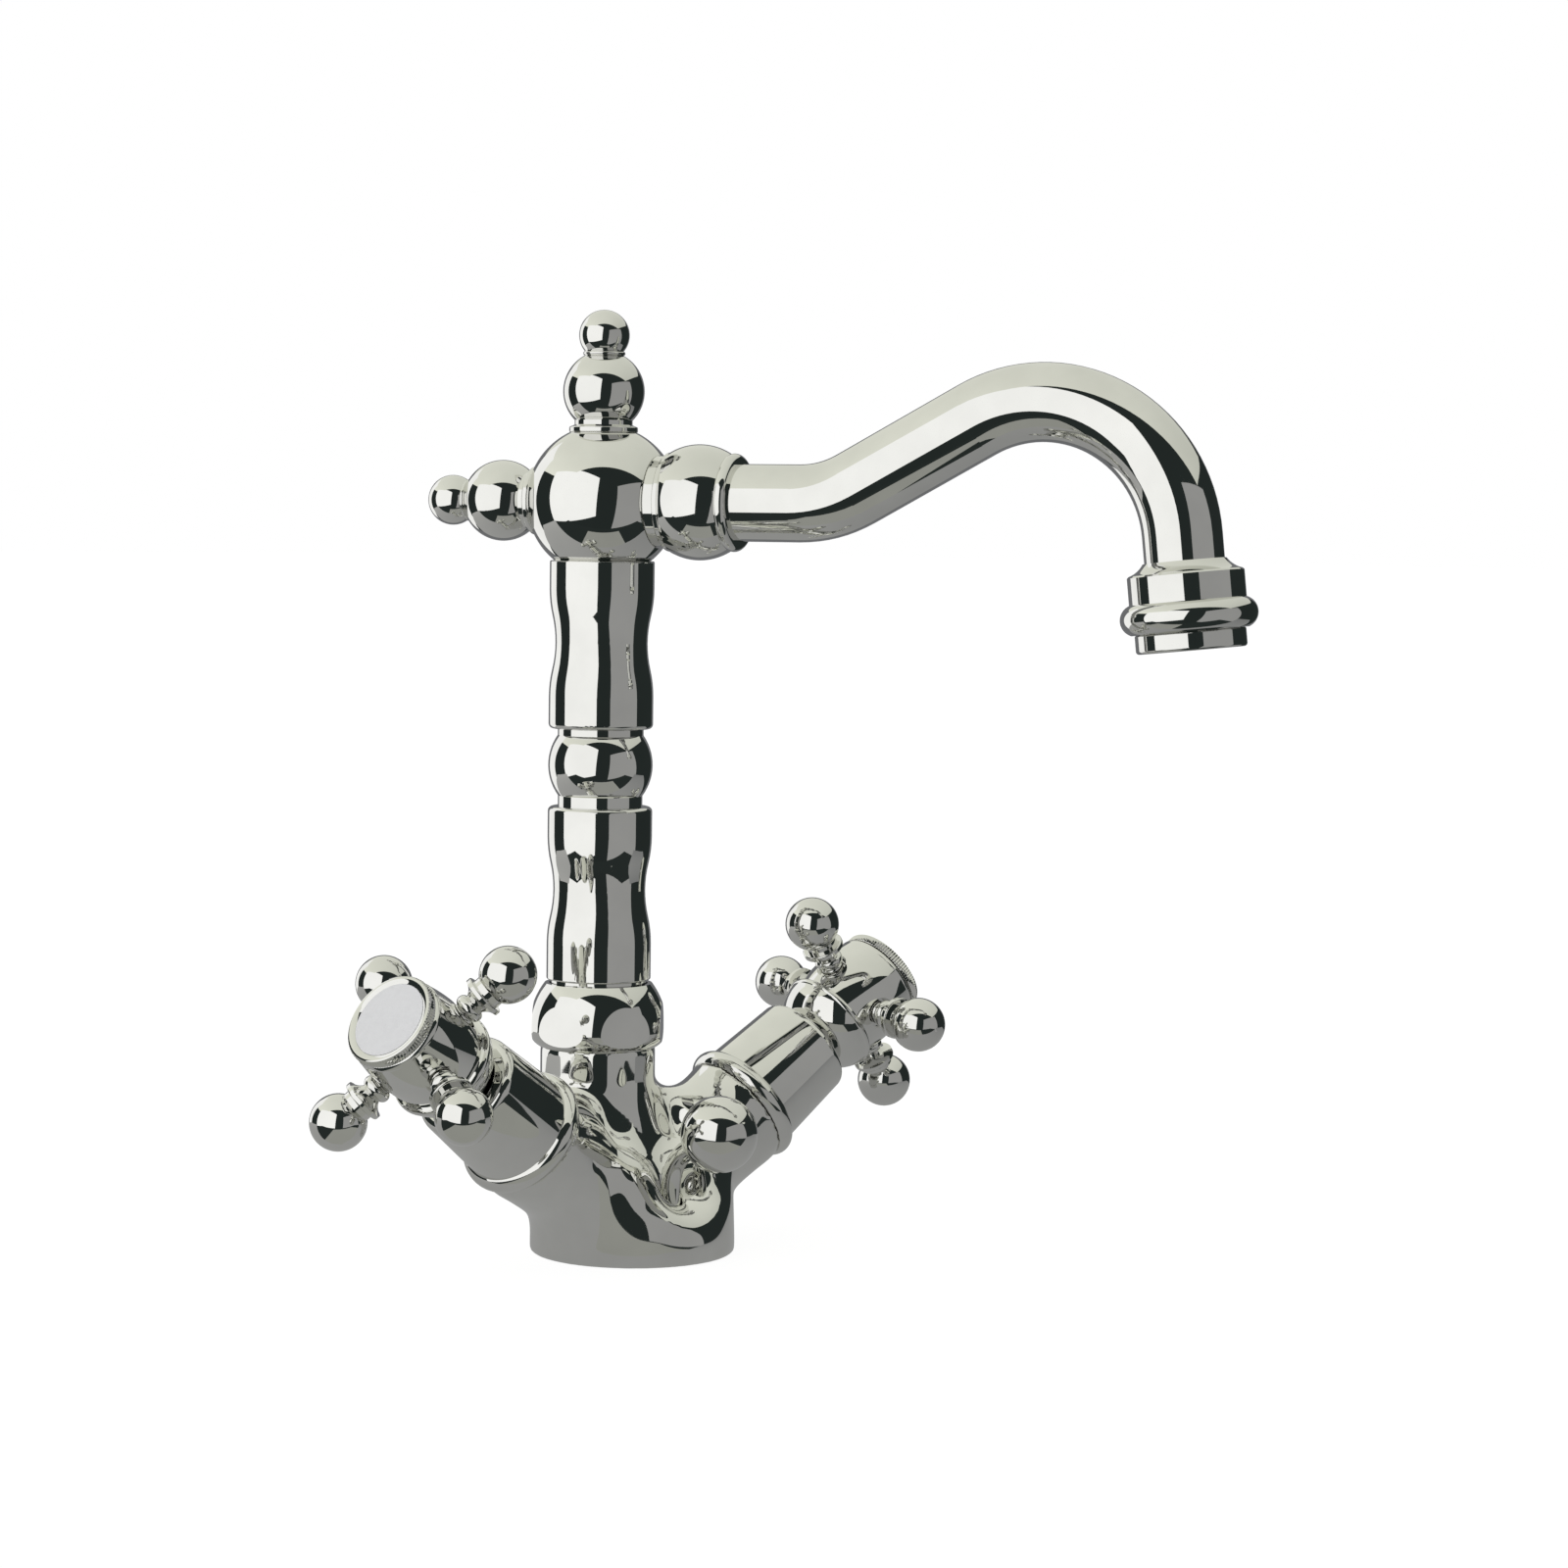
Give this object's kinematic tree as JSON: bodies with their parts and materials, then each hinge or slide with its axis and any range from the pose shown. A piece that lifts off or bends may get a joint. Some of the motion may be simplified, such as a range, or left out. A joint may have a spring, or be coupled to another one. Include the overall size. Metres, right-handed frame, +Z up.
{
  "type": "basin mixer tap",
  "caption": "Traditional chrome basin mixer tap with a swivelling swan-neck spout on a turned column, cross-handle valves on rising arms and a lift rod for the waste plug.",
  "frame": {"origin": "centre of the round foot, on the surface the tap stands on", "axes": "+Z up, -Y towards the person using the tap, hot valve at -X, cold valve at +X"},
  "size_m": [0.1801, 0.1911, 0.2273],
  "materials": {
    "chrome": "polished chrome plate on brass",
    "brass": "machined brass",
    "steel": "plain stainless steel",
    "ceramic": "lapped ceramic",
    "enamel": "pale bare index disc",
    "nylon": "natural moulded plastic",
    "seal_rubber": "black seal rubber"
  },
  "bodies": {
    "body": {"body_casting": "chrome", "foot_seal": "seal_rubber", "rod_bush": "nylon", "union_nut": "chrome", "swivel_washers": "nylon", "hot_cartridge": "brass", "hot_fixed_disc": "ceramic", "hot_seat_seal": "seal_rubber", "hot_shroud": "chrome", "cold_cartridge": "brass", "cold_fixed_disc": "ceramic", "cold_seat_seal": "seal_rubber", "cold_shroud": "chrome"},
    "spout": {"column": "chrome", "column_rings": "seal_rubber", "spout_ball": "chrome", "top_finial": "chrome", "rear_finial": "chrome", "spout_collar": "chrome", "spout_tube": "chrome", "outlet_ferrule": "chrome", "aerator_housing": "chrome", "aerator_insert": "nylon", "aerator_washer": "seal_rubber"},
    "hot_handle": {"hot_moving_disc": "ceramic", "hot_spindle": "brass", "hot_hub": "chrome", "hot_spokes": "chrome", "hot_handle_screw": "steel", "hot_index_ring": "chrome", "hot_index_disc": "enamel"},
    "cold_handle": {"cold_moving_disc": "ceramic", "cold_spindle": "brass", "cold_hub": "chrome", "cold_spokes": "chrome", "cold_handle_screw": "steel", "cold_index_ring": "chrome", "cold_index_disc": "enamel"},
    "lift": {"lift_rod": "chrome", "lift_knob": "chrome"}
  },
  "joints": [
    {"name": "spout_swivel", "type": "hinge", "parent": "body", "child": "spout", "pos_m": [0, 0.0132, 0.06], "axis": [0, 0, 1], "continuous": true},
    {"name": "hot_turn", "type": "hinge", "parent": "body", "child": "hot_handle", "pos_m": [-0.03426, -0.00003, 0.03131], "axis": [-0.8157, -0.103, 0.5693], "range_deg": [0, 90]},
    {"name": "cold_turn", "type": "hinge", "parent": "body", "child": "cold_handle", "pos_m": [0.03426, -0.00003, 0.03131], "axis": [0.8157, -0.103, 0.5693], "range_deg": [-90, 0]},
    {"name": "lift_slide", "type": "slide", "parent": "body", "child": "lift", "axis": [0, 0, 1], "range_m": [0, 0.009]}
  ]
}
